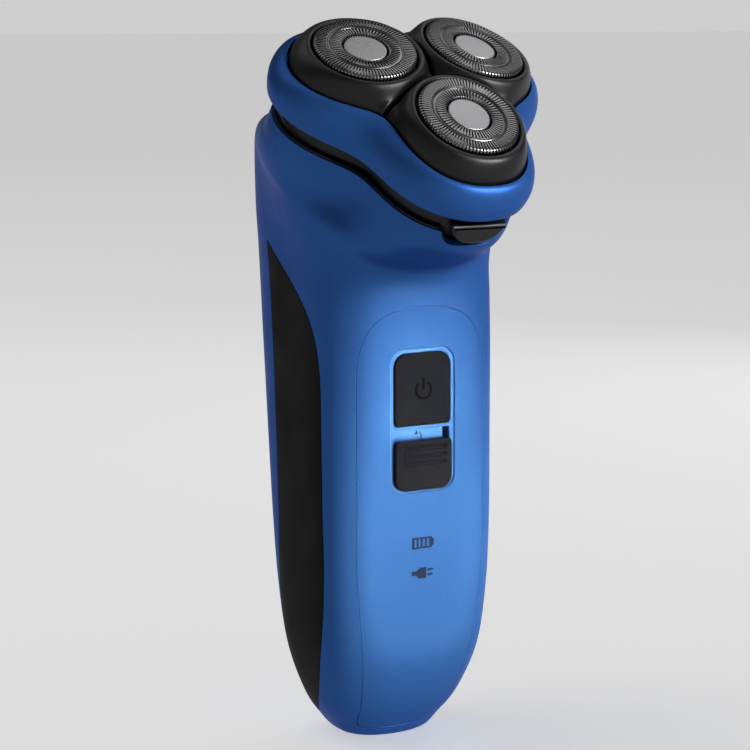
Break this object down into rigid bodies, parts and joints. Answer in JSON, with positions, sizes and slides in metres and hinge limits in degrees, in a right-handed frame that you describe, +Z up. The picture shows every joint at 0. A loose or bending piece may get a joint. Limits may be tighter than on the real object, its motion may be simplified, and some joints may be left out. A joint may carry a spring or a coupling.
{
  "type": "electric shaver",
  "caption": "Rotary electric shaver with floating cutting heads on a tilted hinged unit, side grips, power button, trimmer slider and rear pop-up trimmer.",
  "frame": {"origin": "on the flat base that the shaver stands on, under the middle of the handle", "axes": "+Z up along the handle, front with the button towards -Y, +X to the right seen from the front"},
  "size_m": [0.065, 0.0743, 0.1629],
  "materials": {
    "blue_shell": "satin",
    "black_plastic": "satin",
    "soft_grip": "matte",
    "dark_grey_plastic": "matte",
    "guard_steel": "satin",
    "cap_steel": "satin",
    "steel": "satin",
    "inner_plastic": "matte",
    "brass_pin": "satin",
    "board": "satin",
    "cell_sleeve": "gloss",
    "motor_can": "satin",
    "clear_plastic": "gloss"
  },
  "bodies": {
    "handle": {"front_shell": "blue_shell", "rear_shell": "blue_shell", "left_grip": "soft_grip", "right_grip": "soft_grip", "front_panel": "blue_shell", "switch_bezel": "blue_shell", "power_switch": "black_plastic", "slider_spring": "steel", "circuit_board": "board", "battery_lamp": "clear_plastic", "charge_lamp": "clear_plastic", "chassis": "inner_plastic", "left_cell": "cell_sleeve", "right_cell": "cell_sleeve", "cell_link": "steel", "left_screw": "steel", "right_screw": "steel", "charging_inlet": "black_plastic", "left_contact_pin": "brass_pin", "right_contact_pin": "brass_pin", "neck_housing": "black_plastic", "head_hinge_pin": "steel", "gear_plate": "inner_plastic", "motor": "motor_can", "trimmer_pin": "steel"},
    "shaving_unit": {"head_frame": "blue_shell", "retaining_frame": "black_plastic", "retaining_knob": "dark_grey_plastic"},
    "motor_rotor": {"motor_pinion": "brass_pin"},
    "trimmer": {"trimmer_cover": "blue_shell", "trimmer_comb": "steel"},
    "trimmer_cutter": {"trimmer_blade": "steel"},
    "power_key": {"power_button": "dark_grey_plastic"},
    "trimmer_key": {"trimmer_slider": "dark_grey_plastic"},
    "release_key": {"release_button": "black_plastic"},
    "front_float": {"front_pod": "black_plastic"},
    "front_shaver": {"front_guard": "guard_steel", "front_guard_cap": "cap_steel"},
    "front_rotor": {"front_cutter": "steel"},
    "front_drive": {"front_drive_gear": "inner_plastic", "front_drive_spindle": "steel"},
    "right_float": {"right_pod": "black_plastic"},
    "right_shaver": {"right_guard": "guard_steel", "right_guard_cap": "cap_steel"},
    "right_rotor": {"right_cutter": "steel"},
    "right_drive": {"right_drive_gear": "inner_plastic", "right_drive_spindle": "steel"},
    "left_float": {"left_pod": "black_plastic"},
    "left_shaver": {"left_guard": "guard_steel", "left_guard_cap": "cap_steel"},
    "left_rotor": {"left_cutter": "steel"},
    "left_drive": {"left_drive_gear": "inner_plastic", "left_drive_spindle": "steel"}
  },
  "joints": [
    {"name": "motor_spin", "type": "hinge", "parent": "handle", "child": "motor_rotor", "pos_m": [0, -0.01412, 0.13636], "axis": [0, -0.5757, 0.8176], "continuous": true},
    {"name": "unit_open", "type": "hinge", "parent": "handle", "child": "shaving_unit", "pos_m": [0, 0.00341, 0.15054], "axis": [-1, 0, 0], "range_deg": [0, 100]},
    {"name": "front_tilt", "type": "hinge", "parent": "shaving_unit", "child": "front_float", "pos_m": [0, -0.03353, 0.13738], "axis": [1, 0, 0], "range_deg": [-4, 4], "stiffness_Nm_per_rad": 0.12},
    {"name": "front_press", "type": "slide", "parent": "front_float", "child": "front_shaver", "axis": [0, -0.6612, 0.7502], "range_m": [-0.0015, 0], "stiffness_N_per_m": 350, "springref_m": 0.0015},
    {"name": "front_cut", "type": "hinge", "parent": "front_shaver", "child": "front_rotor", "pos_m": [0, -0.0362, 0.14041], "axis": [0, -0.6612, 0.7502], "continuous": true},
    {"name": "front_drive_spin", "type": "hinge", "parent": "handle", "child": "front_drive", "pos_m": [0, -0.02655, 0.12761], "axis": [0, -0.5757, 0.8176], "continuous": true},
    {"name": "right_tilt", "type": "hinge", "parent": "shaving_unit", "child": "right_float", "pos_m": [0.01324, -0.01478, 0.15058], "axis": [-0.5, 0.7081, 0.4986], "range_deg": [-4, 4], "stiffness_Nm_per_rad": 0.12},
    {"name": "right_press", "type": "slide", "parent": "right_float", "child": "right_shaver", "axis": [0.0941, -0.5279, 0.8441], "range_m": [-0.0015, 0], "stiffness_N_per_m": 350, "springref_m": 0.0015},
    {"name": "right_cut", "type": "hinge", "parent": "right_shaver", "child": "right_rotor", "pos_m": [0.01362, -0.01691, 0.15399], "axis": [0.0941, -0.5279, 0.8441], "continuous": true},
    {"name": "right_drive_spin", "type": "hinge", "parent": "handle", "child": "right_drive", "pos_m": [0.01316, -0.00791, 0.14074], "axis": [0, -0.5757, 0.8176], "continuous": true},
    {"name": "left_tilt", "type": "hinge", "parent": "shaving_unit", "child": "left_float", "pos_m": [-0.01324, -0.01478, 0.15058], "axis": [-0.5, -0.7081, -0.4986], "range_deg": [-4, 4], "stiffness_Nm_per_rad": 0.12},
    {"name": "left_press", "type": "slide", "parent": "left_float", "child": "left_shaver", "axis": [-0.0941, -0.5279, 0.8441], "range_m": [-0.0015, 0], "stiffness_N_per_m": 350, "springref_m": 0.0015},
    {"name": "left_cut", "type": "hinge", "parent": "left_shaver", "child": "left_rotor", "pos_m": [-0.01362, -0.01691, 0.15399], "axis": [-0.0941, -0.5279, 0.8441], "continuous": true},
    {"name": "left_drive_spin", "type": "hinge", "parent": "handle", "child": "left_drive", "pos_m": [-0.01316, -0.00791, 0.14074], "axis": [0, -0.5757, 0.8176], "continuous": true},
    {"name": "trimmer_swing", "type": "hinge", "parent": "handle", "child": "trimmer", "pos_m": [0, 0.024, 0.1098], "axis": [-1, 0, 0], "range_deg": [0, 80]},
    {"name": "trimmer_stroke", "type": "slide", "parent": "trimmer", "child": "trimmer_cutter", "axis": [1, 0, 0], "range_m": [-0.0008, 0.0008]},
    {"name": "power_press", "type": "slide", "parent": "handle", "child": "power_key", "axis": [0, 1, 0], "range_m": [0, 0.0007], "stiffness_N_per_m": 600, "springref_m": -0.0006},
    {"name": "trimmer_slide", "type": "slide", "parent": "handle", "child": "trimmer_key", "axis": [0, 0, 1], "range_m": [0, 0.0026], "stiffness_N_per_m": 250, "springref_m": -0.002, "deforming": ["slider_spring"]},
    {"name": "release_press", "type": "slide", "parent": "handle", "child": "release_key", "axis": [0, 0.8176, 0.5757], "range_m": [0, 0.0012], "stiffness_N_per_m": 600, "springref_m": -0.0006}
  ],
  "couplings": [
    {"joint": "front_drive_spin", "follows": "motor_spin", "ratio": -0.33333},
    {"joint": "front_cut", "follows": "motor_spin", "ratio": -0.33333},
    {"joint": "right_drive_spin", "follows": "motor_spin", "ratio": -0.33333},
    {"joint": "right_cut", "follows": "motor_spin", "ratio": -0.33333},
    {"joint": "left_drive_spin", "follows": "motor_spin", "ratio": -0.33333},
    {"joint": "left_cut", "follows": "motor_spin", "ratio": -0.33333}
  ]
}
